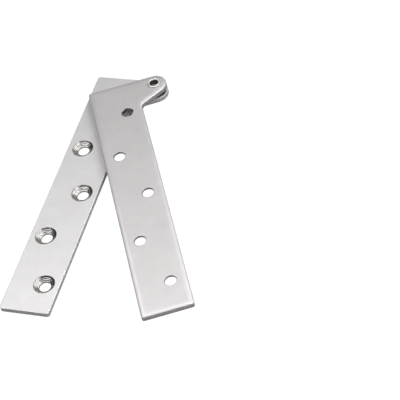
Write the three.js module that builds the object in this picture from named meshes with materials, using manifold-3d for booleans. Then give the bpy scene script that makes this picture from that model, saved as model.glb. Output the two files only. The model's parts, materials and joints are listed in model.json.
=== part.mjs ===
// Offset pivot hinge: two flat stainless leaves stacked in parallel planes.
// Each leaf has an ear beside one end, and a tubular rivet through both ears is the pivot.
// A washer on the rivet keeps the leaves apart, so that the upper leaf turns all the way round.
// Millimetres, +Z up along the pivot axis. The origin is on the axis, at the outer face
// of the lower leaf, and the lower leaf lies along -Y.

import * as THREE from 'three';
import { mergeVertices } from 'three/addons/utils/BufferGeometryUtils.js';
import Module from 'manifold-3d';

// ---- driving dimensions ----

const LEAF_LENGTH = 150;
const LEAF_WIDTH = 25;
const LEAF_THICKNESS = 3;
const LEAF_GAP = 2;

const PIVOT_OUTSET = 8.8;      // from the leaf's long edge out to the pivot axis
const EAR_RADIUS = 6.2;        // the round end of the ear, flush with the leaf's end edge
const EAR_SLOPE = 28;          // degrees, the ear's inner side against the leaf's end edge
const EAR_FILLET = 2.5;        // where that side runs into the long edge
const CORNER_RADIUS = 1.2;
const EDGE_ROUND = 0.5;        // rolled edge between a face and the outline

const HOLE_COUNT = 5;
const HOLE_RADIUS = 2.9;       // clears a 5 mm countersunk screw
const FIRST_HOLE = 20.8;       // from the end edge, along the leaf
const HOLE_PITCH = 28.2;
const HOLE_STAGGER = 4.6;      // either side of the leaf's centre line
const SINK_RADIUS = 5.2;
const SINK_DEPTH = 2;

const RIVET_RADIUS = 2.7;
const RIVET_CLEARANCE = 0.08;  // radial, round the shank and the head
const HEAD_RADIUS = 4.4;       // flush countersunk head in the lower leaf
const HEAD_DEPTH = 1.7;
const RIM_ROUND = 0.45;        // half the thickness of the rolled-over rim
const RIM_LIFT = 0.05;         // from the upper leaf's face up to the rim
const BORE_DEPTH = 3.5;        // blind hollow, measured from the top of the rim
const BORE_POINT = 0.6;        // depth of the drill point under the hollow

const WASHER_RADIUS = 4.5;
const WASHER_PLAY = 0.05;      // above and below the washer
const WASHER_EDGE = 0.2;       // broken edges

const SPREAD = 28.2;           // degrees between the leaves at rest

// ---- values worked out from them ----

const UPPER_FACE = 2 * LEAF_THICKNESS + LEAF_GAP;
const ROUND_SEGMENTS = 48;     // shank, bores and washer
const HOLE_SEGMENTS = 32;      // screw holes
const ARC_SEGMENTS = 14;       // each rounded stretch of the outline
const BEVEL_SEGMENTS = 2;
const CUT_MARGIN = 1;          // how far a cutter runs past a face

const wasm = await Module();
wasm.setup();

// ---- solids ----

function toSolid(geometry) {
  const bare = geometry.clone();
  bare.deleteAttribute('normal');
  bare.deleteAttribute('uv');
  const merged = mergeVertices(bare, 1e-4);
  return new wasm.Manifold(new wasm.Mesh({
    numProp: 3,
    vertProperties: new Float32Array(merged.attributes.position.array),
    triVerts: new Uint32Array(merged.index.array),
  }));
}

function toGeometry(solid) {
  const mesh = solid.getMesh();
  const geometry = new THREE.BufferGeometry();
  geometry.setAttribute('position', new THREE.BufferAttribute(mesh.vertProperties, 3));
  geometry.setIndex(new THREE.BufferAttribute(mesh.triVerts, 1));
  geometry.computeVertexNormals();
  return geometry;
}

// A turned solid about +Z, from [radius, height] points that climb its outside.
function turned(profile, segments) {
  const points = profile.map(([radius, height]) => new THREE.Vector2(radius, height));
  return new THREE.LatheGeometry(points, segments).rotateX(Math.PI / 2);
}

// ---- the leaf ----

// The outline of a leaf about the pivot axis, counterclockwise, body to the left of the ear.
function leafOutline() {
  const slope = THREE.MathUtils.degToRad(EAR_SLOPE);
  const quarter = Math.PI / 2;
  const right = -PIVOT_OUTSET;
  const left = right - LEAF_WIDTH;
  const top = EAR_RADIUS;
  const bottom = top - LEAF_LENGTH;
  const filletX = right + EAR_FILLET;
  const filletY = (filletX * Math.sin(slope) - EAR_RADIUS - EAR_FILLET) / Math.cos(slope);
  const corner = CORNER_RADIUS;

  const outline = new THREE.Shape();
  outline.absarc(0, 0, EAR_RADIUS, slope - quarter, quarter, false);
  outline.absarc(left + corner, top - corner, corner, quarter, 2 * quarter, false);
  outline.absarc(left + corner, bottom + corner, corner, 2 * quarter, 3 * quarter, false);
  outline.absarc(right - corner, bottom + corner, corner, 3 * quarter, 4 * quarter, false);
  outline.absarc(filletX, filletY, EAR_FILLET, 2 * quarter, quarter + slope, true);
  outline.closePath();
  return outline;
}

function blankLeaf() {
  const plate = new THREE.ExtrudeGeometry(leafOutline(), {
    depth: LEAF_THICKNESS - 2 * EDGE_ROUND,
    curveSegments: ARC_SEGMENTS,
    bevelThickness: EDGE_ROUND,
    bevelSize: EDGE_ROUND,
    bevelOffset: -EDGE_ROUND,
    bevelSegments: BEVEL_SEGMENTS,
  });
  plate.translate(0, 0, EDGE_ROUND);
  return toSolid(plate);
}

// A screw hole's cutter: a straight land, then the cone, out through the face at the top.
function screwCutter() {
  const flare = (SINK_RADIUS - HOLE_RADIUS) / SINK_DEPTH;
  return turned([
    [0, -CUT_MARGIN],
    [HOLE_RADIUS, -CUT_MARGIN],
    [HOLE_RADIUS, LEAF_THICKNESS - SINK_DEPTH],
    [SINK_RADIUS + flare * CUT_MARGIN, LEAF_THICKNESS + CUT_MARGIN],
    [0, LEAF_THICKNESS + CUT_MARGIN],
  ], HOLE_SEGMENTS);
}

function pivotCutter() {
  const radius = RIVET_RADIUS + RIVET_CLEARANCE;
  return turned([
    [0, -CUT_MARGIN],
    [radius, -CUT_MARGIN],
    [radius, LEAF_THICKNESS + CUT_MARGIN],
    [0, LEAF_THICKNESS + CUT_MARGIN],
  ], ROUND_SEGMENTS);
}

// The seat of the rivet's flush head, which opens through the face at the bottom.
function headCutter() {
  const flare = (HEAD_RADIUS - RIVET_RADIUS) / HEAD_DEPTH;
  const mouth = HEAD_RADIUS + RIVET_CLEARANCE;
  const throat = RIVET_RADIUS + RIVET_CLEARANCE;
  return turned([
    [0, -CUT_MARGIN],
    [mouth + flare * CUT_MARGIN, -CUT_MARGIN],
    [throat, (mouth - throat) / flare],
    [0, (mouth - throat) / flare],
  ], ROUND_SEGMENTS);
}

function cutAway(solid, cutter) {
  return solid.subtract(toSolid(cutter));
}

// The hole centres zigzag down the leaf, the first one on the ear's side.
function screwHoles() {
  const centreLine = -PIVOT_OUTSET - LEAF_WIDTH / 2;
  return Array.from({ length: HOLE_COUNT }, (_, i) => ({
    x: centreLine + (i % 2 === 0 ? HOLE_STAGGER : -HOLE_STAGGER),
    y: EAR_RADIUS - FIRST_HOLE - HOLE_PITCH * i,
  }));
}

// The countersinks are on the face that meets the other leaf: the top of the lower one.
function leaf(isLower) {
  let solid = cutAway(blankLeaf(), pivotCutter());
  for (const hole of screwHoles()) {
    const cutter = screwCutter();
    if (!isLower) {
      cutter.rotateX(Math.PI).translate(0, 0, LEAF_THICKNESS);
    }
    solid = cutAway(solid, cutter.translate(hole.x, hole.y, 0));
  }
  if (isLower) {
    solid = cutAway(solid, headCutter());
  }
  return toGeometry(solid);
}

// ---- the rivet and the washer ----

// Solid countersunk head and shank, hollow at the top, where the wall is rolled over the face.
function rivet() {
  const rimCentre = UPPER_FACE + RIM_LIFT + RIM_ROUND;
  const rimSteps = 8;
  const rim = Array.from({ length: rimSteps + 1 }, (_, i) => {
    const angle = -Math.PI / 2 + 1.5 * Math.PI * i / rimSteps;
    return [RIVET_RADIUS + RIM_ROUND * Math.cos(angle), rimCentre + RIM_ROUND * Math.sin(angle)];
  });
  const bore = RIVET_RADIUS - RIM_ROUND;
  const floor = rimCentre + RIM_ROUND - BORE_DEPTH;
  return turned([
    [0, 0],
    [HEAD_RADIUS, 0],
    [RIVET_RADIUS, HEAD_DEPTH],
    ...rim,
    [bore, floor],
    [0, floor - BORE_POINT],
  ], ROUND_SEGMENTS);
}

function washer() {
  const low = LEAF_THICKNESS + WASHER_PLAY;
  const high = LEAF_THICKNESS + LEAF_GAP - WASHER_PLAY;
  const inner = RIVET_RADIUS + RIVET_CLEARANCE;
  return turned([
    [inner, low],
    [WASHER_RADIUS - WASHER_EDGE, low],
    [WASHER_RADIUS, low + WASHER_EDGE],
    [WASHER_RADIUS, high - WASHER_EDGE],
    [WASHER_RADIUS - WASHER_EDGE, high],
    [inner, high],
    [inner, low],
  ], ROUND_SEGMENTS);
}

// ---- materials ----

const brushedSteel = new THREE.MeshStandardMaterial({
  color: 0xc9c7c5, roughness: 0.42, metalness: 0.9,
});
const formedSteel = new THREE.MeshStandardMaterial({
  color: 0xd6d4d0, roughness: 0.25, metalness: 1,
});
const washerSteel = new THREE.MeshStandardMaterial({
  color: 0x9a9894, roughness: 0.5, metalness: 0.9,
});

// ---- assembly ----

function piece(name, geometry, material) {
  const mesh = new THREE.Mesh(geometry, material);
  mesh.name = name;
  return mesh;
}

const swing = new THREE.Group();
swing.position.z = LEAF_THICKNESS + LEAF_GAP;
swing.rotation.z = THREE.MathUtils.degToRad(SPREAD);
swing.add(piece('upper_leaf', leaf(false), brushedSteel));

const hinge = new THREE.Group();
hinge.add(
  piece('lower_leaf', leaf(true), brushedSteel),
  piece('pivot_rivet', rivet(), formedSteel),
  piece('spacer_washer', washer(), washerSteel),
  swing,
);

export default hinge;
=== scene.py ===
import json
import math

import bmesh
import bpy
from mathutils import Matrix, Vector


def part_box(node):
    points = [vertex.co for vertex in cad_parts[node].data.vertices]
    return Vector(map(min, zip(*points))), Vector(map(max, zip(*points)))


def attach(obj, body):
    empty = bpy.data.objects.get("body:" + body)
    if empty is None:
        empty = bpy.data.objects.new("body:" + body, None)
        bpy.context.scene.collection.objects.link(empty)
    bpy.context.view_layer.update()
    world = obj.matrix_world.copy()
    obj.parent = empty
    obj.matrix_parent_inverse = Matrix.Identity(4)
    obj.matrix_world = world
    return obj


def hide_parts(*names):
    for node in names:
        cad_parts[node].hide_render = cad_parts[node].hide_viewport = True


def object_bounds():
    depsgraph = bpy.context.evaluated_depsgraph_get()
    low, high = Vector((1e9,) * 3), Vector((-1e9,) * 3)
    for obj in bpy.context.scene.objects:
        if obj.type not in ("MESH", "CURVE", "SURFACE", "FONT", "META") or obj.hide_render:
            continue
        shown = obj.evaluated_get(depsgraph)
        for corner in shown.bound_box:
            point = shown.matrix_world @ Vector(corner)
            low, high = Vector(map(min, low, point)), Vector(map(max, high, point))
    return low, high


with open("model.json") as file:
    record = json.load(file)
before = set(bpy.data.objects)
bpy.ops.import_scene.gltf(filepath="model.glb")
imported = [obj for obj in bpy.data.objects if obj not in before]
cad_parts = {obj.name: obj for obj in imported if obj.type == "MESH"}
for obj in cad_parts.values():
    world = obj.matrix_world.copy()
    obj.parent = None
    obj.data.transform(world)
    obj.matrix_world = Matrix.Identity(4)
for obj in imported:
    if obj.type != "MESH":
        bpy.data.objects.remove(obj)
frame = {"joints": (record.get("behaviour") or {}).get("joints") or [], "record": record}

cad_low, cad_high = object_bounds()

# ---- the two leaves ----
# Stamped from 3 mm stainless strip and satin brushed lengthwise. The punch rolls the edge of
# the outer face over, and leaves the wall burnished and then torn. The screw holes are
# countersunk in the inner face. Round the pivot the inner faces are painted near black, as
# painted shade in the gap between the ears.

MM = 0.001                           # the pieces are shaped in millimetres, then scaled
LEAF_WIDTH = 25
EAR_SLOPE = math.radians(28)
EAR_FILLET = 2.5
UPPER_ROLL = (2.8, 0.8)              # outer edge of the upper leaf: across, and down the wall
LOWER_ROLL = (1.2, 0.6)              # kept narrower, clear of the rivet's seat
INNER_ROLL = (0.35, 0.2)             # the slight edge of the inner faces
ROLL_STEPS = 8
CORNER_STEP = 5                      # the widest roll closes a corner to a point on this step
QUARTER = math.pi / 2
LEAF_CORNER = UPPER_ROLL[0] * (1 - math.cos(QUARTER * CORNER_STEP / ROLL_STEPS))
SUPPORT = 0.12                       # flat strip that keeps the shading of a face even
HOLE_RADIUS = 2.9
SINK_RADIUS = 5.2
SINK_DEPTH = 2
SINK_LIP = 0.22                      # straight step where the drill's shoulder met the face
CHATTER = 0.04                       # depth of the drill's rings in the cone
CHATTER_RINGS = 3.5
MOUTH_BREAK = 0.15                   # rounding at the mouths of the holes
SHANK_RADIUS = 2.7
SHANK_PLAY = 0.08
ROUND_STEPS = 72

leaf_low, leaf_high = (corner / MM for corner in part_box("lower_leaf"))
upper_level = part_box("upper_leaf")[0].z / MM
pivot = Vector(frame["joints"][0]["pos_m"]).to_2d() / MM
rivet_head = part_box("pivot_rivet")[1].x / MM - pivot.x
ear_radius = leaf_high.x - pivot.x
thickness = leaf_high.z - leaf_low.z


def screw_holes(prefix):
    """Where a leaf's screw holes are, from the openings that the record states."""
    found = []
    for opening in frame["record"]["physics"]["openings"]:
        if opening["name"].startswith(prefix):
            low, high = (Vector(corner).to_2d() / MM for corner in opening["box_m"])
            found.append((low + high) / 2)
    return found


lower_holes = screw_holes("lower_screw_hole")
upper_holes = screw_holes("upper_screw_hole")
spread = (upper_holes[-1] - upper_holes[0]).angle_signed(lower_holes[-1] - lower_holes[0])


def add_arc(bm, centre, radius, start, turn, steps, z):
    """Spins one vertex into an arc, and returns its first and last vertices."""
    at = centre + radius * Vector((math.cos(start), math.sin(start)))
    first = bm.verts.new((at.x, at.y, z))
    made = bmesh.ops.spin(
        bm, geom=[first], cent=(centre.x, centre.y, z), axis=(0, 0, 1),
        angle=turn, steps=steps, use_merge=False, use_duplicate=False)
    last = next(item for item in made["geom_last"] if isinstance(item, bmesh.types.BMVert))
    return first, last


left, right = leaf_low.x, leaf_low.x + LEAF_WIDTH
top, bottom = leaf_high.y, leaf_low.y
corners = [Vector((left + LEAF_CORNER, top - LEAF_CORNER)),
           Vector((left + LEAF_CORNER, bottom + LEAF_CORNER)),
           Vector((right - LEAF_CORNER, bottom + LEAF_CORNER))]


def leaf_outline(bm, z):
    """The leaf's outline at one height, counterclockwise, as one face."""
    reach = ear_radius + EAR_FILLET
    fillet = Vector((right + EAR_FILLET, 0))
    fillet.y = ((fillet.x - pivot.x) * math.sin(EAR_SLOPE) - reach) / math.cos(EAR_SLOPE)
    arcs = [(pivot, ear_radius, EAR_SLOPE - QUARTER, math.pi - EAR_SLOPE, 44)]
    arcs += [(corner, LEAF_CORNER, QUARTER * (1 + number), QUARTER, 10)
             for number, corner in enumerate(corners)]
    arcs.append((fillet, EAR_FILLET, math.pi, EAR_SLOPE - QUARTER, 12))
    ends = [add_arc(bm, *arc, z) for arc in arcs]
    for (_, last), (first, _) in zip(ends, ends[1:] + ends[:1]):
        bm.edges.new((last, first))
    return bmesh.ops.contextual_create(bm, geom=list(bm.edges))["faces"][0]


def widest_face(bm, facing):
    """The leaf's flat face on the side that a direction points to."""
    return max((face for face in bm.faces if face.normal.dot(facing) > 0.99),
               key=lambda face: face.calc_area())


def roll_edge(bm, face, roll):
    """Insets a face step by step, so that its edge turns over as a punched edge does.

    A round corner closes to a point where the inset reaches its radius.
    """
    across, down = roll
    facing = face.normal.copy()
    turns = [QUARTER * step / ROLL_STEPS for step in range(ROLL_STEPS + 1)]
    steps = [(across * (math.cos(before) - math.cos(after)),
              down * (math.sin(after) - math.sin(before)))
             for before, after in zip(turns, turns[1:])]
    for inwards, outwards in steps + [(SUPPORT, 0)]:
        bmesh.ops.inset_region(bm, faces=[face], use_boundary=True, use_even_offset=True,
                               thickness=inwards, depth=outwards)
        for corner in corners:
            close = [vert for vert in face.verts if (vert.co.xy - corner).length < 0.1]
            if len(close) > 1:
                bmesh.ops.pointmerge(bm, verts=close,
                                     merge_co=(corner.x, corner.y, close[0].co.z))
                face = widest_face(bm, facing)
    return face


def add_round(bm, centre, profile):
    """Spins a profile of (radius, height), and stores how far along it each point is."""
    way = bm.verts.layers.float["way"]
    verts = [bm.verts.new((centre.x + radius, centre.y, z)) for radius, z in profile]
    edges = [bm.edges.new(pair) for pair in zip(verts, verts[1:])]
    gone = 1
    for edge, vert in zip(edges, verts[1:-1]):
        gone += edge.calc_length()
        vert[way] = gone
    bmesh.ops.spin(bm, geom=verts + edges, cent=(centre.x, centre.y, 0), axis=(0, 0, 1),
                   angle=math.tau, steps=ROUND_STEPS, use_merge=True, use_duplicate=False)


def rim_edges(bm, centre, radius, z):
    """The open edges that lie on one round."""
    on_round = [vert for vert in bm.verts if abs(vert.co.z - z) < 0.001
                and abs((vert.co.xy - centre).length - radius) < 0.001]
    return [edge for edge in bm.edges if edge.is_boundary
            and edge.verts[0] in on_round and edge.verts[1] in on_round]


def pierce(bm, face, rims):
    """Opens a flat face at rims, which a chain of edges joins to its outline and each other."""
    stops = [list(face.verts)] + [[edge.verts[0] for edge in rim] for rim in rims]
    net = [edge for rim in rims for edge in rim]
    for before, after in zip(stops, stops[1:] + stops[:1]):
        pairs = ((start, end) for start in before for end in after)
        net.append(bm.edges.new(min(pairs, key=lambda pair: (pair[0].co - pair[1].co).length)))
    parts = bmesh.utils.face_split_edgenet(face, net)
    discs = [part for part in parts if len(part.verts) == ROUND_STEPS]
    bmesh.ops.delete(bm, geom=discs, context="FACES_ONLY")


def mouth(radius, face, depth):
    """A hole's rounded mouth from its wall out to the face, with a flat strip round it."""
    turns = [math.radians(angle) for angle in (0, 30, 60, 90)]
    side = 1 if face > depth else -1
    rounds = [(radius + MOUTH_BREAK * (1 - math.cos(turn)),
               face - side * MOUTH_BREAK * (1 - math.sin(turn))) for turn in turns]
    return rounds + [(radius + MOUTH_BREAK + SUPPORT, face)]


def screw_hole_profile():
    """From the outer face up through the straight land and the cone to the inner face."""
    throat = thickness - SINK_DEPTH
    cone_top = thickness - SINK_LIP - MOUTH_BREAK
    wall = SINK_RADIUS - MOUTH_BREAK / 2
    cone = []
    cone_steps = 21
    for step in range(cone_steps + 1):
        share = step / cone_steps
        wave = CHATTER * math.sin(math.tau * CHATTER_RINGS * share)
        cone.append((HOLE_RADIUS + (wall - 0.1 - HOLE_RADIUS) * share - wave,
                     throat + (cone_top - throat) * share + wave))
    return (mouth(HOLE_RADIUS, 0, throat)[::-1] + [(HOLE_RADIUS, throat - 0.1)] + cone
            + mouth(wall, thickness, throat))


def pivot_hole_profile(is_lower):
    """A plain bore, or one with a seat for the rivet's flush head in the outer face."""
    radius = SHANK_RADIUS + SHANK_PLAY
    start = mouth(radius, 0, thickness)[::-1]
    if is_lower:
        head = rivet_head + SHANK_PLAY
        start = [(head + SUPPORT, 0), (head, 0), (radius, head - radius)]
    return start + mouth(radius, thickness, 0)


def mark_edges(bm, outer_roll):
    """Stores how far down over the edge each point of the outline is."""
    edge = bm.verts.layers.float["edge"]
    for vert in bm.verts:
        over_outer = vert.co.z / outer_roll[1]
        over_inner = (thickness - vert.co.z) / INNER_ROLL[1]
        vert[edge] = max(0, min(over_outer, over_inner, 1))


def new_shape():
    """An empty mesh with room for what the materials read on each point."""
    bm = bmesh.new()
    for label in ("edge", "way"):
        bm.verts.layers.float.new(label)
    return bm


def leaf_mesh(name, is_lower):
    """A leaf, made in the lower one's place, and turned over and about if it is the upper."""
    bm = new_shape()
    outer_roll = LOWER_ROLL if is_lower else UPPER_ROLL
    outer = leaf_outline(bm, outer_roll[1])
    if outer.normal.z > 0:
        bmesh.ops.reverse_faces(bm, faces=[outer])
    raised = bmesh.ops.extrude_face_region(bm, geom=[outer], use_keep_orig=True)["geom"]
    inner = next(item for item in raised if isinstance(item, bmesh.types.BMFace))
    wall = thickness - outer_roll[1] - INNER_ROLL[1]
    bmesh.ops.translate(bm, verts=inner.verts, vec=(0, 0, wall))
    bmesh.ops.recalc_face_normals(bm, faces=bm.faces)
    inner = roll_edge(bm, inner, INNER_ROLL)
    outer = roll_edge(bm, outer, outer_roll)
    mark_edges(bm, outer_roll)
    outer_rims, inner_rims = [], []
    holes = [(hole, screw_hole_profile()) for hole in reversed(lower_holes)]
    holes.append((pivot, pivot_hole_profile(is_lower)))
    for centre, profile in holes:
        add_round(bm, centre, profile)
        outer_rims.append(rim_edges(bm, centre, *profile[0]))
        inner_rims.append(rim_edges(bm, centre, *profile[-1]))
    pierce(bm, outer, outer_rims)
    pierce(bm, inner, inner_rims)
    if not is_lower:
        bmesh.ops.scale(bm, verts=bm.verts, vec=(1, 1, -1))
        bmesh.ops.rotate(bm, verts=bm.verts, cent=(*pivot, 0),
                         matrix=Matrix.Rotation(spread, 3, "Z"))
        bmesh.ops.translate(bm, verts=bm.verts, vec=(0, 0, upper_level + thickness))
    bmesh.ops.recalc_face_normals(bm, faces=bm.faces)
    return finished_mesh(bm, name)


def finished_mesh(bm, name):
    """Brings a shape from millimetres to metres, and makes a smooth mesh of it."""
    bmesh.ops.scale(bm, verts=bm.verts, vec=(MM, MM, MM))
    mesh = bpy.data.meshes.new(name)
    bm.to_mesh(mesh)
    bm.free()
    mesh.shade_smooth()
    return mesh


def add_piece(name, mesh, material):
    """Puts a mesh of one material into the scene."""
    piece = bpy.data.objects.new(name, mesh)
    bpy.context.scene.collection.objects.link(piece)
    mesh.materials.append(material)
    return piece


def add_node(tree, kind, feeds=(), **settings):
    """Adds a shader node, and gives its inputs values or links."""
    node = tree.nodes.new(kind)
    for name, value in settings.items():
        setattr(node, name, value)
    for socket, value in dict(feeds).items():
        if isinstance(value, bpy.types.NodeSocket):
            tree.links.new(value, node.inputs[socket])
        else:
            node.inputs[socket].default_value = value
    return node


def new_group(name, takes, gives):
    """An empty node group, and its two end nodes."""
    group = bpy.data.node_groups.new(name, "ShaderNodeTree")
    for label, kind in takes:
        group.interface.new_socket(label, in_out="INPUT", socket_type=kind)
    for label in gives:
        group.interface.new_socket(label, in_out="OUTPUT", socket_type="NodeSocketFloat")
    return group, group.nodes.new("NodeGroupInput"), group.nodes.new("NodeGroupOutput")


def math_node(tree, operation, first, second, clamp=False):
    """A sum, product or other operation on two values."""
    node = add_node(tree, "ShaderNodeMath", {0: first, 1: second}, operation=operation,
                    use_clamp=clamp)
    return node.outputs[0]


def noise(tree, place, scale, detail, roughness=0.5):
    """Cloudy noise, at a number of waves per millimetre where the place is in millimetres."""
    node = add_node(tree, "ShaderNodeTexNoise", {
        "Vector": place, "Scale": scale, "Detail": detail, "Roughness": roughness})
    return node.outputs[0]


def stretch(tree, place, by):
    """A place scaled along each axis."""
    node = add_node(tree, "ShaderNodeVectorMath", {0: place, 1: by}, operation="MULTIPLY")
    return node.outputs["Vector"]


def spread_out(tree, value, low, high, to_low=0.0, to_high=1.0, smooth=True):
    """Maps one range of a value onto another."""
    node = add_node(tree, "ShaderNodeMapRange", {
        "Value": value, "From Min": low, "From Max": high, "To Min": to_low,
        "To Max": to_high}, interpolation_type="SMOOTHSTEP" if smooth else "LINEAR")
    return node.outputs["Result"]


def mixed(tree, share, first, second):
    """A value between two others, by a share of the second."""
    node = add_node(tree, "ShaderNodeMix", {0: share, 2: first, 3: second}, data_type="FLOAT")
    return node.outputs[0]


def mixed_colour(tree, share, first, second):
    """A colour between two others, each a link or a triple."""
    first, second = (colour if isinstance(colour, bpy.types.NodeSocket) else (*colour, 1)
                     for colour in (first, second))
    node = add_node(tree, "ShaderNodeMix", {0: share, 6: first, 7: second}, data_type="RGBA")
    return node.outputs[2]


def satin_group():
    """Strokes of the brushing belt, along Y, with faint clouds and a few handling marks."""
    group, takes, gives = new_group(
        "satin brushing",
        [("Place", "NodeSocketVector"), ("Clouding", "NodeSocketFloat")],
        ["Tone", "Gloss", "Height"])
    place = takes.outputs["Place"]
    long_strokes = noise(group, stretch(group, place, (2.6, 0.11, 2.6)), 1, 5, 0.62)
    fine_strokes = noise(group, stretch(group, place, (11, 0.7, 11)), 1, 4, 0.6)
    strokes = mixed(group, 0.45, long_strokes, fine_strokes)
    clouds = noise(group, place, 0.11, 3, 0.55)
    specks = spread_out(group, noise(group, place, 1.7, 2, 0.5), 0.7, 0.8)
    marks_place = add_node(group, "ShaderNodeMapping", {
        "Vector": place, "Rotation": (0, 0, math.radians(37)), "Scale": (1.4, 0.09, 1)})
    marks = spread_out(group, noise(group, marks_place.outputs[0], 1, 2, 0.4), 0.69, 0.74)
    clouding = math_node(group, "MULTIPLY", math_node(group, "SUBTRACT", clouds, 0.5),
                         takes.outputs["Clouding"])
    tone = math_node(group, "ADD", strokes, clouding)
    tone = math_node(group, "SUBTRACT", tone, math_node(group, "MULTIPLY", specks, 0.18))
    tone = math_node(group, "ADD", tone, math_node(group, "MULTIPLY", marks, 0.1), clamp=True)
    gloss = math_node(group, "ADD", strokes, math_node(group, "MULTIPLY", marks, 0.25))
    height = math_node(group, "SUBTRACT", strokes, math_node(group, "MULTIPLY", specks, 0.5))
    height = math_node(group, "SUBTRACT", height, math_node(group, "MULTIPLY", marks, 0.35))
    for label, value in (("Tone", tone), ("Gloss", gloss), ("Height", height)):
        group.links.new(value, gives.inputs[label])
    return group


def shear_group():
    """A punched wall: drag lines in the burnished band, and a torn band beyond it."""
    group, takes, gives = new_group(
        "punched wall",
        [("Place", "NodeSocketVector"), ("Level", "NodeSocketFloat"),
         ("Break", "NodeSocketFloat")],
        ["Torn", "Tone", "Height"])
    place = takes.outputs["Place"]
    drag = noise(group, stretch(group, place, (3.4, 3.4, 0.22)), 1, 5, 0.6)
    grit = noise(group, place, 4.2, 6, 0.7)
    pits = spread_out(group, noise(group, stretch(group, place, (1, 1, 0.55)), 2.1, 3, 0.6),
                      0.36, 0.5)
    wander = math_node(group, "MULTIPLY", math_node(
        group, "SUBTRACT", noise(group, place, 0.55, 3, 0.6), 0.5), 1.5)
    edge = math_node(group, "ADD", takes.outputs["Break"], wander)
    past = math_node(group, "SUBTRACT", takes.outputs["Level"], edge)
    torn = spread_out(group, past, -0.08, 0.12)
    rough_tone = math_node(group, "MULTIPLY", grit, pits)
    tone = mixed(group, torn, drag, rough_tone)
    height = mixed(group, torn, math_node(group, "MULTIPLY", drag, 0.3),
                   math_node(group, "MULTIPLY", rough_tone, 0.8))
    for label, value in (("Torn", torn), ("Tone", tone), ("Height", height)):
        group.links.new(value, gives.inputs[label])
    return group


def turned_group():
    """Rings that a tool's point leaves on a surface it turns on, by the way across them."""
    group, takes, gives = new_group(
        "turned rings",
        [("Place", "NodeSocketVector"), ("Way", "NodeSocketFloat"),
         ("Feed", "NodeSocketFloat")],
        ["Tone", "Height"])
    rings_place = add_node(group, "ShaderNodeCombineXYZ", {
        0: math_node(group, "DIVIDE", takes.outputs["Way"], takes.outputs["Feed"])})
    drift = stretch(group, takes.outputs["Place"], (0.12, 0.12, 0.12))
    rings_place = add_node(group, "ShaderNodeVectorMath",
                           {0: rings_place.outputs[0], 1: drift}, operation="ADD")
    rings = noise(group, rings_place.outputs["Vector"], 1, 3, 0.65)
    grit = noise(group, takes.outputs["Place"], 3.2, 3, 0.6)
    tone = mixed(group, 0.2, rings, grit)
    group.links.new(tone, gives.inputs["Tone"])
    group.links.new(rings, gives.inputs["Height"])
    return group


satin = satin_group()
punched = shear_group()
turned = turned_group()


FACE_METAL = 0.6
# One steel, painted in two lightnesses: the lower leaf's face and wall colours are painted
# lighter and the upper leaf's darker, as painted light and shade.
LOWER_LIGHT = (0.95, 0.936, 0.936)   # the lightest the brushing gets, on each leaf
UPPER_LIGHT = (0.81, 0.783, 0.787)
FACE_SHADE = 0.85                    # the darkest, as a share of it
LOWER_WALL = (0.86, 0.85, 0.84)
UPPER_WALL = (0.6, 0.59, 0.58)
WALL_SHADE = 0.5
CONE_LIGHT = (0.78, 0.77, 0.755)
CONE_DARK = (0.27, 0.26, 0.245)
FACE_ROUGH = 0.5
ROLL_ROUGH = 0.5
BURNISHED_ROUGH = 0.3
TORN_ROUGH = 0.6
CONE_ROUGH = 0.25
BREAK_LEVEL = 1.5                    # how far down the wall the burnished band reaches
# Painted shade: the inner faces round the pivot, where the ears overlap, are painted near
# black.
PIVOT_GAP_SHADE = (0.05, 0.047, 0.04)
PIVOT_GAP_SHADE_ROUGH = 0.35
PIVOT_GAP_SHADE_REACH = 5.4
PIVOT_GAP_SHADE_FADE = 0.5
LEAF_RELIEF = 0.06                   # full depth of the brushing, the tears and the rings


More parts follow.
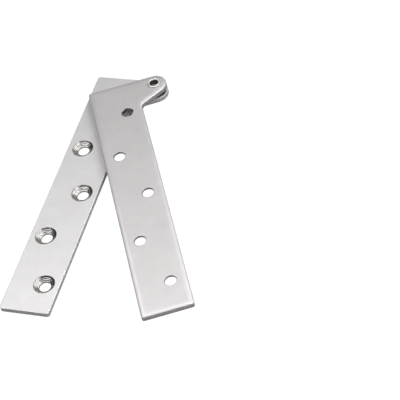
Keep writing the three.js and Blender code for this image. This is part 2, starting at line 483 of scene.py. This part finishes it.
def leaf_steel(name, turn, outer_level, inner_way, face_light, wall_light):
    """Satin stainless steel, with its punched walls, its turned holes, and painted shade round
    the pivot.
    """
    material = bpy.data.materials.new(name)
    material.use_nodes = True
    tree = material.node_tree
    shader = tree.nodes["Principled BSDF"]
    here = add_node(tree, "ShaderNodeTexCoord").outputs["Object"]
    along = add_node(tree, "ShaderNodeMapping", {
        "Vector": here, "Rotation": (0, 0, -turn), "Scale": (1 / MM, 1 / MM, 1 / MM)})
    place = along.outputs[0]
    height_here = add_node(tree, "ShaderNodeSeparateXYZ", {0: place}).outputs["Z"]
    level = math_node(tree, "MULTIPLY", math_node(
        tree, "SUBTRACT", height_here, outer_level), inner_way)
    edge = add_node(tree, "ShaderNodeAttribute", attribute_name="edge").outputs["Fac"]
    way = add_node(tree, "ShaderNodeAttribute", attribute_name="way").outputs["Fac"]
    in_hole = spread_out(tree, way, 0.4, 1)

    face = add_node(tree, "ShaderNodeGroup", {"Place": place, "Clouding": 0.9},
                    node_tree=satin)
    wall = add_node(tree, "ShaderNodeGroup", {
        "Place": place, "Level": level, "Break": BREAK_LEVEL}, node_tree=punched)
    cone = add_node(tree, "ShaderNodeGroup", {"Place": place, "Way": way, "Feed": 0.16},
                    node_tree=turned)

    face_dark = [FACE_SHADE * part for part in face_light]
    face_colour = mixed_colour(tree, face.outputs["Tone"], face_dark, face_light)
    wall_dark = [WALL_SHADE * part for part in wall_light]
    wall_colour = mixed_colour(tree, wall.outputs["Tone"], wall_dark, wall_light)
    cone_colour = mixed_colour(tree, cone.outputs["Tone"], CONE_DARK, CONE_LIGHT)
    on_wall = spread_out(tree, edge, 0.55, 0.95)
    colour = mixed_colour(tree, on_wall, face_colour, wall_colour)
    colour = mixed_colour(tree, in_hole, colour, cone_colour)

    # Painted shade: the inner face within reach of the pivot is painted near black, for the
    # shade in the gap between the ears.
    # The pivot stands at the frame's origin, so the distance from it needs no offset.
    flat = stretch(tree, place, (1, 1, 0))
    from_pivot = add_node(tree, "ShaderNodeVectorMath", {0: flat}, operation="LENGTH")
    from_pivot = math_node(tree, "ADD", from_pivot.outputs["Value"], math_node(
        tree, "MULTIPLY", noise(tree, place, 0.9, 3, 0.6), 0.6))
    near = spread_out(tree, from_pivot, PIVOT_GAP_SHADE_REACH, PIVOT_GAP_SHADE_REACH + PIVOT_GAP_SHADE_FADE, 1, 0)
    darkened = math_node(tree, "MULTIPLY", near, spread_out(
        tree, level, thickness - 0.3, thickness - 0.1))
    colour = mixed_colour(tree, darkened, colour, PIVOT_GAP_SHADE)

    face_rough = spread_out(tree, face.outputs["Gloss"], 0.3, 0.75, FACE_ROUGH + 0.05,
                            FACE_ROUGH - 0.05, smooth=False)
    roll = spread_out(tree, edge, 0.02, 0.5)
    face_rough = mixed(tree, roll, face_rough, ROLL_ROUGH)
    wall_rough = mixed(tree, wall.outputs["Torn"], BURNISHED_ROUGH, TORN_ROUGH)
    rough = mixed(tree, on_wall, face_rough, wall_rough)
    rough = mixed(tree, in_hole, rough, CONE_ROUGH)
    rough = mixed(tree, darkened, rough, PIVOT_GAP_SHADE_ROUGH)

    relief = mixed(tree, on_wall, math_node(tree, "MULTIPLY", face.outputs["Height"], 0.22),
                   wall.outputs["Height"])
    relief = mixed(tree, in_hole, relief, math_node(
        tree, "MULTIPLY", cone.outputs["Height"], 0.45))
    bump = add_node(tree, "ShaderNodeBump", {
        "Height": relief, "Distance": LEAF_RELIEF * MM, "Strength": 1.0})

    tree.links.new(colour, shader.inputs["Base Color"])
    tree.links.new(rough, shader.inputs["Roughness"])
    tree.links.new(bump.outputs[0], shader.inputs["Normal"])
    metal = mixed(tree, on_wall, FACE_METAL, 1)
    tree.links.new(mixed(tree, in_hole, metal, 1), shader.inputs["Metallic"])
    return material


lower = add_piece("brushed_lower_leaf", leaf_mesh("brushed_lower_leaf", True),
                  leaf_steel("satin lower leaf steel", 0, leaf_low.z, 1,
                             LOWER_LIGHT, LOWER_WALL))
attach(lower, "fixed_leaf")
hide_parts("lower_leaf")

upper = add_piece("brushed_upper_leaf", leaf_mesh("brushed_upper_leaf", False),
                  leaf_steel("satin upper leaf steel", spread, upper_level + thickness, -1,
                             UPPER_LIGHT, UPPER_WALL))
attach(upper, "swing_leaf")
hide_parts("upper_leaf")

# ---- the pivot rivet ----
# A semi-tubular steel rivet. Its countersunk head fills the seat in the lower leaf, and its
# drilled end is rolled outwards over the upper leaf, which stays free to turn on the shank.

BORE_RADIUS = 2.25
BORE_DEPTH = 3.5
BORE_POINT = 0.7
RIM_REACH = 3.15                     # how far the rolled rim comes out over the upper leaf
HEAD_DEPTH = 1.7
HOLLOW_START = 0.6                   # above the upper leaf, where the painted shade inside the rim begins
HOLLOW_FADE = 0.4
BORE_FLOOR_SHADE = 0.75                # the drilled floor of the hollow gets less painted shade
RIVET_METAL = 0.5
RIVET_LIGHT = (0.97, 0.965, 0.95)
RIVET_DARK = (0.86, 0.855, 0.84)
# Painted shade: the inside of the bore is painted near black.
HOLLOW_SHADE_LIGHT = (0.2, 0.185, 0.16)
HOLLOW_SHADE_DARK = (0.03, 0.027, 0.022)

rivet_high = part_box("pivot_rivet")[1] / MM
leaf_top = upper_level + thickness
bore_bottom = rivet_high.z - BORE_DEPTH


def bend(centre, radius, start, end, steps):
    """Points along an arc in a profile, with angles in degrees from straight outwards."""
    turns = [math.radians(start + (end - start) * step / steps) for step in range(steps + 1)]
    return [(centre[0] + radius * math.cos(turn), centre[1] + radius * math.sin(turn))
            for turn in turns]


def rivet_profile():
    """From the middle of the flush head round the outside to the bottom of the bore."""
    rim_round = (RIM_REACH - BORE_RADIUS) / 2
    rim_middle = (BORE_RADIUS + rim_round, rivet_high.z - rim_round)
    head = [(0, 0.12), (0.55, 0.12), (0.75, 0.02), (0.95, 0), (3.2, 0), (3.3, 0.03), (3.4, 0),
            (rivet_head - 0.2, 0)]
    head += bend((rivet_head - 0.14, 0.14), 0.14, -90, 20, 5)
    shank = [(SHANK_RADIUS + 0.1, HEAD_DEPTH - 0.05), (SHANK_RADIUS, HEAD_DEPTH + 0.1),
             (SHANK_RADIUS, HEAD_DEPTH + 0.2), (SHANK_RADIUS, leaf_top - 0.1),
             (SHANK_RADIUS, leaf_top + 0.05)]
    rim = [(SHANK_RADIUS + 0.12, leaf_top + 0.1)]
    rim += bend(rim_middle, rim_round, -35, 180, 20)
    bore_wall = [(BORE_RADIUS, leaf_top + 0.2), (BORE_RADIUS, bore_bottom + 0.3),
                 (BORE_RADIUS - 0.04, bore_bottom + 0.12), (BORE_RADIUS - 0.2, bore_bottom),
                 (0.3, bore_bottom - BORE_POINT + 0.06), (0, bore_bottom - BORE_POINT)]
    return head + shank + rim + bore_wall


def turned_steel(name, metal, feed, ring_depth):
    """Steel with turned rings: its material, place in millimetres, and the rings' tone."""
    material = bpy.data.materials.new(name)
    material.use_nodes = True
    tree = material.node_tree
    shader = tree.nodes["Principled BSDF"]
    here = add_node(tree, "ShaderNodeTexCoord").outputs["Object"]
    place = stretch(tree, here, (1 / MM, 1 / MM, 1 / MM))
    way = add_node(tree, "ShaderNodeAttribute", attribute_name="way").outputs["Fac"]
    rings = add_node(tree, "ShaderNodeGroup", {"Place": place, "Way": way, "Feed": feed},
                     node_tree=turned)
    bump = add_node(tree, "ShaderNodeBump", {
        "Height": rings.outputs["Height"], "Distance": ring_depth * MM, "Strength": 1.0})
    tree.links.new(bump.outputs[0], shader.inputs["Normal"])
    shader.inputs["Metallic"].default_value = metal
    return material, place, rings.outputs["Tone"]


def rivet_steel():
    """Bright cold-headed steel with fine turned rings, and its hollow painted dark as painted
    shade.
    """
    material, _, tone = turned_steel("bright rivet steel", RIVET_METAL, 0.3, 0.008)
    tree = material.node_tree
    shader = tree.nodes["Principled BSDF"]
    hollow = add_node(tree, "ShaderNodeAttribute", attribute_name="edge").outputs["Fac"]
    bright = mixed_colour(tree, tone, RIVET_DARK, RIVET_LIGHT)
    hollow_shade_colour = mixed_colour(tree, tone, HOLLOW_SHADE_DARK, HOLLOW_SHADE_LIGHT)
    tree.links.new(mixed_colour(tree, hollow, bright, hollow_shade_colour), shader.inputs["Base Color"])
    tree.links.new(mixed(tree, hollow, 0.32, 0.5), shader.inputs["Roughness"])
    return material


bm = new_shape()
add_round(bm, pivot, rivet_profile())
bmesh.ops.remove_doubles(bm, verts=bm.verts, dist=0.0001)
# The hollow's painted shade is kept in the edge layer: dark from just above the rim down the
# bore, a little less at its floor.
dark = bm.verts.layers.float["edge"]
for vert in bm.verts:
    if (vert.co.xy - pivot).length < BORE_RADIUS + 0.01 and vert.co.z > bore_bottom - 1:
        inside = (leaf_top + HOLLOW_START - vert.co.z) / HOLLOW_FADE
        most = 1 if vert.co.z > bore_bottom + 0.1 else BORE_FLOOR_SHADE
        vert[dark] = max(0, min(inside, most))
bmesh.ops.recalc_face_normals(bm, faces=bm.faces)
rivet = add_piece("rolled_pivot_rivet", finished_mesh(bm, "rolled_pivot_rivet"), rivet_steel())
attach(rivet, "fixed_leaf")
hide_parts("pivot_rivet")

# ---- the spacer washer ----
# A turned steel washer on the shank between the ears. It holds the leaves apart, so that
# they pass each other, and is darker than they are from grease and wear.

WASHER_EDGE = 0.2
WASHER_LIGHT = (0.5, 0.49, 0.475)
WASHER_DARK = (0.24, 0.235, 0.225)
WASHER_STAIN = (0.12, 0.105, 0.085)

washer_low, washer_high = (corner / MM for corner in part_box("spacer_washer"))


def washer_profile():
    """Round the section of the ring, from its bore and back to it."""
    inner = SHANK_RADIUS + SHANK_PLAY
    outer = washer_high.x - pivot.x
    low, high, edge = washer_low.z, washer_high.z, WASHER_EDGE
    return (bend((inner + edge, low + edge), edge, 180, 270, 4)
            + bend((outer - edge, low + edge), edge, -90, 0, 4)
            + bend((outer - edge, high - edge), edge, 0, 90, 4)
            + bend((inner + edge, high - edge), edge, 90, 180, 4)
            + [(inner, low + edge)])


def washer_steel():
    """Dull turned steel, stained by old grease in the rings."""
    material, place, tone = turned_steel("greased washer steel", 1, 0.2, 0.03)
    tree = material.node_tree
    shader = tree.nodes["Principled BSDF"]
    grease = spread_out(tree, noise(tree, place, 0.7, 4, 0.6), 0.42, 0.62)
    steel = mixed_colour(tree, tone, WASHER_DARK, WASHER_LIGHT)
    tree.links.new(mixed_colour(tree, grease, steel, WASHER_STAIN),
                   shader.inputs["Base Color"])
    tree.links.new(mixed(tree, grease, 0.42, 0.22), shader.inputs["Roughness"])
    return material


bm = new_shape()
add_round(bm, pivot, washer_profile())
bmesh.ops.remove_doubles(bm, verts=bm.verts, dist=0.0001)
bmesh.ops.recalc_face_normals(bm, faces=bm.faces)
washer = add_piece("turned_spacer_washer", finished_mesh(bm, "turned_spacer_washer"),
                   washer_steel())
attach(washer, "fixed_leaf")
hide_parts("spacer_washer")

# ---- the floor, the lights and the camera ----
# The hinge lies on a plain white table under soft boxes. The camera stands in front of the
# free ends, looks down at them, and is rolled a little, so that the leaves hang like a tent.

CAMERA_AIM = Vector((0.04231, -0.06553, 0))      # in metres, as all below
CAMERA_HEADING = math.radians(-28.37)
CAMERA_TILT = math.radians(-48.24)
CAMERA_ROLL = math.radians(-16.08)
CAMERA_DISTANCE = 0.8099
CAMERA_LENS = 151.46
FLOOR_SIZE = 6
FLOOR_DROP = 0.00002                 # below the hinge, so that their faces don't coincide
FLOOR_GREY = (0.55, 0.55, 0.55)      # as the hinge and the lights see it
FLOOR_GLOW = 1.05                    # as the camera sees it
WORLD_FRONT = (0.02, 0.02, 0.021)
WORLD_BACK = (0.05, 0.049, 0.048)
MIDDLE = (0.01, -0.07, 0)            # between the leaves
FREE_ENDS = (0.01, -0.16, 0)

facing = Vector((
    math.cos(CAMERA_TILT) * math.sin(CAMERA_HEADING),
    math.cos(CAMERA_TILT) * math.cos(CAMERA_HEADING),
    math.sin(CAMERA_TILT)))
camera = bpy.data.objects.new("camera", bpy.data.cameras.new("camera"))
bpy.context.scene.collection.objects.link(camera)
camera.data.lens = CAMERA_LENS
camera.data.sensor_width = 36
camera.location = CAMERA_AIM - facing * CAMERA_DISTANCE
level_view = facing.to_track_quat("-Z", "Y")
camera.rotation_mode = "QUATERNION"
camera.rotation_quaternion = level_view @ Matrix.Rotation(CAMERA_ROLL, 3, "Z").to_quaternion()
bpy.context.scene.camera = camera

bm = bmesh.new()
bmesh.ops.create_grid(bm, x_segments=1, y_segments=1, size=FLOOR_SIZE / 2,
                      matrix=Matrix.Translation((0, 0, cad_low.z - FLOOR_DROP)))
floor_mesh = bpy.data.meshes.new("floor")
bm.to_mesh(floor_mesh)
bm.free()
floor_material = bpy.data.materials.new("white table")
floor_material.use_nodes = True
tree = floor_material.node_tree
paper = tree.nodes["Principled BSDF"]
paper.inputs["Base Color"].default_value = (*FLOOR_GREY, 1)
paper.inputs["Roughness"].default_value = 0.9
glow = add_node(tree, "ShaderNodeEmission", {
    "Color": (1, 1, 1, 1), "Strength": FLOOR_GLOW})
seen = add_node(tree, "ShaderNodeLightPath").outputs["Is Camera Ray"]
either = add_node(tree, "ShaderNodeMixShader", {
    0: seen, 1: paper.outputs[0], 2: glow.outputs[0]})
tree.links.new(either.outputs[0], tree.nodes["Material Output"].inputs["Surface"])
floor = add_piece("floor", floor_mesh, floor_material)

world = bpy.data.worlds.new("studio")
world.use_nodes = True
tree = world.node_tree
aim = add_node(tree, "ShaderNodeTexCoord").outputs["Generated"]
aim_y = add_node(tree, "ShaderNodeSeparateXYZ", {0: aim}).outputs["Y"]
shade = mixed_colour(tree, spread_out(tree, aim_y, -0.6, 0.6), WORLD_FRONT, WORLD_BACK)
tree.links.new(shade, tree.nodes["Background"].inputs["Color"])
bpy.context.scene.world = world
bpy.context.scene.view_settings.view_transform = "Standard"


def add_softbox(name, aim, azimuth, elevation, distance, size, brightness):
    """A square soft box that faces its aim from a direction counted from +X, in degrees.

    Its brightness is that of its surface, and doesn't change with its size.
    """
    turn, rise = math.radians(azimuth), math.radians(elevation)
    back = Vector((math.cos(rise) * math.cos(turn), math.cos(rise) * math.sin(turn),
                   math.sin(rise)))
    light = bpy.data.objects.new(name, bpy.data.lights.new(name, "AREA"))
    light.data.size = size
    light.data.energy = brightness * math.pi * size * size
    light.location = Vector(aim) + distance * back
    light.rotation_mode = "QUATERNION"
    light.rotation_quaternion = back.to_track_quat("Z", "Y")
    bpy.context.scene.collection.objects.link(light)


add_softbox("back right box", MIDDLE, 45, 50, 0.5, 0.36, 2.8)
add_softbox("overhead box", MIDDLE, 180, 68, 0.5, 0.36, 2.8)
add_softbox("near ends box", FREE_ENDS, 5, 55, 0.3, 0.2, 3.6)
